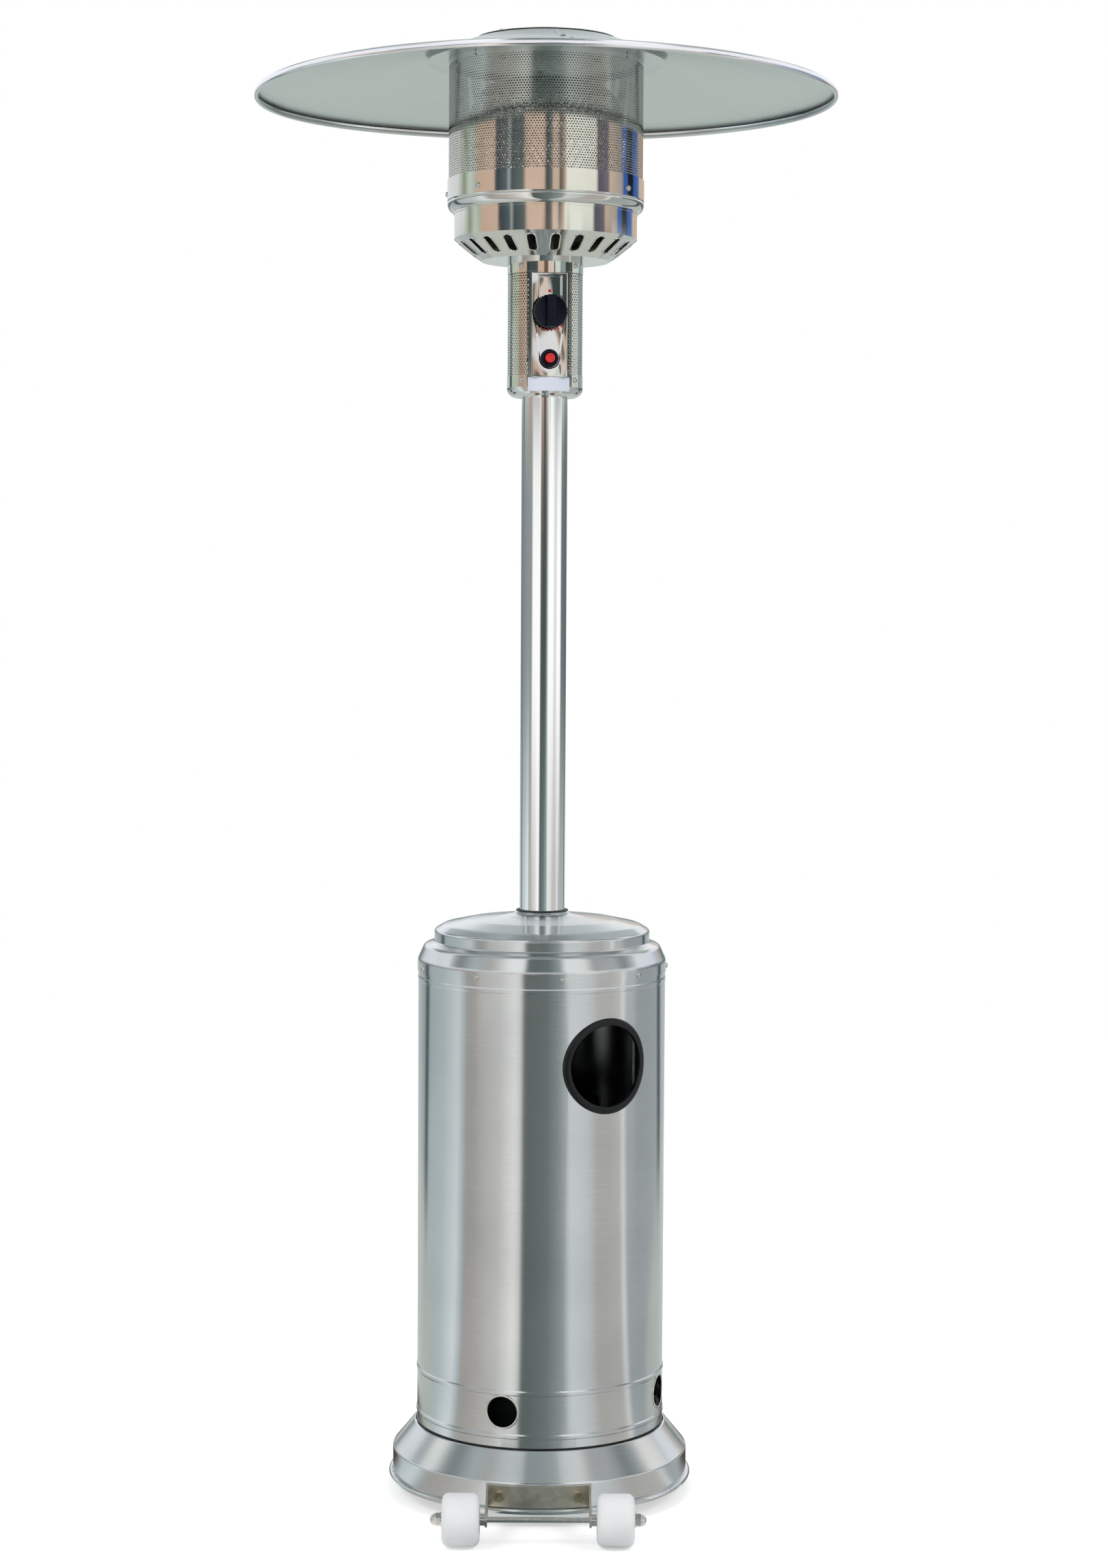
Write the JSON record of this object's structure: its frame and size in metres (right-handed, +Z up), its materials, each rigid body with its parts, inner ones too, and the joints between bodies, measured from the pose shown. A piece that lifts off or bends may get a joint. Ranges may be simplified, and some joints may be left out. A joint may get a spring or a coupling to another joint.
{
  "type": "gas patio heater",
  "caption": "Free-standing gas patio heater: dish reflector and perforated emitter on a post over a lifting tank housing, with knob, igniter and transport wheels.",
  "frame": {"origin": "on the ground, in the middle of the base and of the reflector", "axes": "+Z up along the post, -Y towards the wheels and the control panel, +X to the right as one looks at the panel"},
  "size_m": [0.867, 0.8669, 2.1929],
  "materials": {
    "stainless_brushed": "brushed stainless steel sheet and tube",
    "stainless_bright": "bright polished stainless steel sheet",
    "steel_plate": "plain galvanised steel",
    "zinc_steel": "zinc plated steel, dull",
    "screw_steel": "bright screw heads",
    "aluminium_dish": "satin aluminium sheet",
    "rubber_black": "black moulded rubber",
    "nylon_white": "white moulded nylon",
    "brass": "machined brass",
    "bottle_paint": "grey enamel",
    "plastic_black": "black moulded plastic",
    "plastic_red": "red moulded plastic",
    "label_film": "plain pale film without print",
    "ceramic_white": "glazed insulator"
  },
  "bodies": {
    "frame": {"base_skirt": "stainless_brushed", "post": "stainless_brushed", "control_base": "stainless_bright", "control_shell": "stainless_bright", "control_collar": "stainless_bright", "face_plate": "stainless_bright", "burner_bowl": "stainless_bright", "burner_band": "stainless_bright", "emitter_screen": "stainless_bright", "inner_emitter": "stainless_bright", "base_plate": "steel_plate", "support_leg_1": "steel_plate", "support_leg_2": "steel_plate", "support_leg_3": "steel_plate", "support_plate": "steel_plate", "burner_plate": "steel_plate", "pilot_tube": "steel_plate", "frame_screws": "zinc_steel", "wheel_bracket": "zinc_steel", "bracket_bolts": "zinc_steel", "wheel_axle": "zinc_steel", "wheel_spacers": "zinc_steel", "axle_nuts": "zinc_steel", "regulator": "zinc_steel", "valve_bracket": "zinc_steel", "burner_screws": "zinc_steel", "reflector_studs": "zinc_steel", "control_screws": "screw_steel", "top_plate": "aluminium_dish", "reflector_panel_1": "aluminium_dish", "reflector_panel_2": "aluminium_dish", "reflector_panel_3": "aluminium_dish", "seam_strips": "aluminium_dish", "hub_cap": "aluminium_dish", "base_feet": "rubber_black", "gas_hose": "rubber_black", "bottle_valve": "brass", "gas_valve": "brass", "main_gas_tube": "brass", "thermocouple": "brass", "gas_bottle": "bottle_paint", "bottle_foot": "bottle_paint", "bottle_guard": "bottle_paint", "igniter_bezel": "plastic_black", "piezo_igniter": "plastic_black", "tilt_switch": "plastic_black", "label_plate": "label_film", "spark_electrode": "ceramic_white"},
    "housing": {"tank_housing": "stainless_brushed", "housing_lid": "stainless_brushed", "lid_screws": "screw_steel", "port_trim": "rubber_black", "post_ring": "rubber_black"},
    "wheel_l": {"wheel_left": "nylon_white"},
    "wheel_r": {"wheel_right": "nylon_white"},
    "plunger": {"valve_plunger": "brass"},
    "knob": {"knob_spindle": "brass", "control_knob": "plastic_black"},
    "button": {"igniter_button": "plastic_red"},
    "tap": {"regulator_tap": "plastic_black"}
  },
  "joints": [
    {"name": "housing_lift", "type": "slide", "parent": "frame", "child": "housing", "axis": [0, 0, 1], "range_m": [0, 0.6]},
    {"name": "wheel_left_spin", "type": "hinge", "parent": "frame", "child": "wheel_l", "pos_m": [-0.1109, -0.31, 0.039], "axis": [1, 0, 0], "continuous": true},
    {"name": "wheel_right_spin", "type": "hinge", "parent": "frame", "child": "wheel_r", "pos_m": [0.1109, -0.31, 0.039], "axis": [1, 0, 0], "continuous": true},
    {"name": "knob_press", "type": "slide", "parent": "frame", "child": "plunger", "axis": [-0.1219, 0.9925, 0], "range_m": [0, 0.0045], "stiffness_N_per_m": 900, "springref_m": -0.003},
    {"name": "knob_turn", "type": "hinge", "parent": "plunger", "child": "knob", "pos_m": [0, 0, 1.7787], "axis": [0.1219, -0.9925, 0], "range_deg": [0, 225]},
    {"name": "igniter_press", "type": "slide", "parent": "frame", "child": "button", "axis": [-0.1219, 0.9925, 0], "range_m": [0, 0.005], "stiffness_N_per_m": 600, "springref_m": -0.003},
    {"name": "tap_turn", "type": "hinge", "parent": "frame", "child": "tap", "pos_m": [0, 0, 0.608], "axis": [0, 0, 1], "range_deg": [0, 90]}
  ]
}
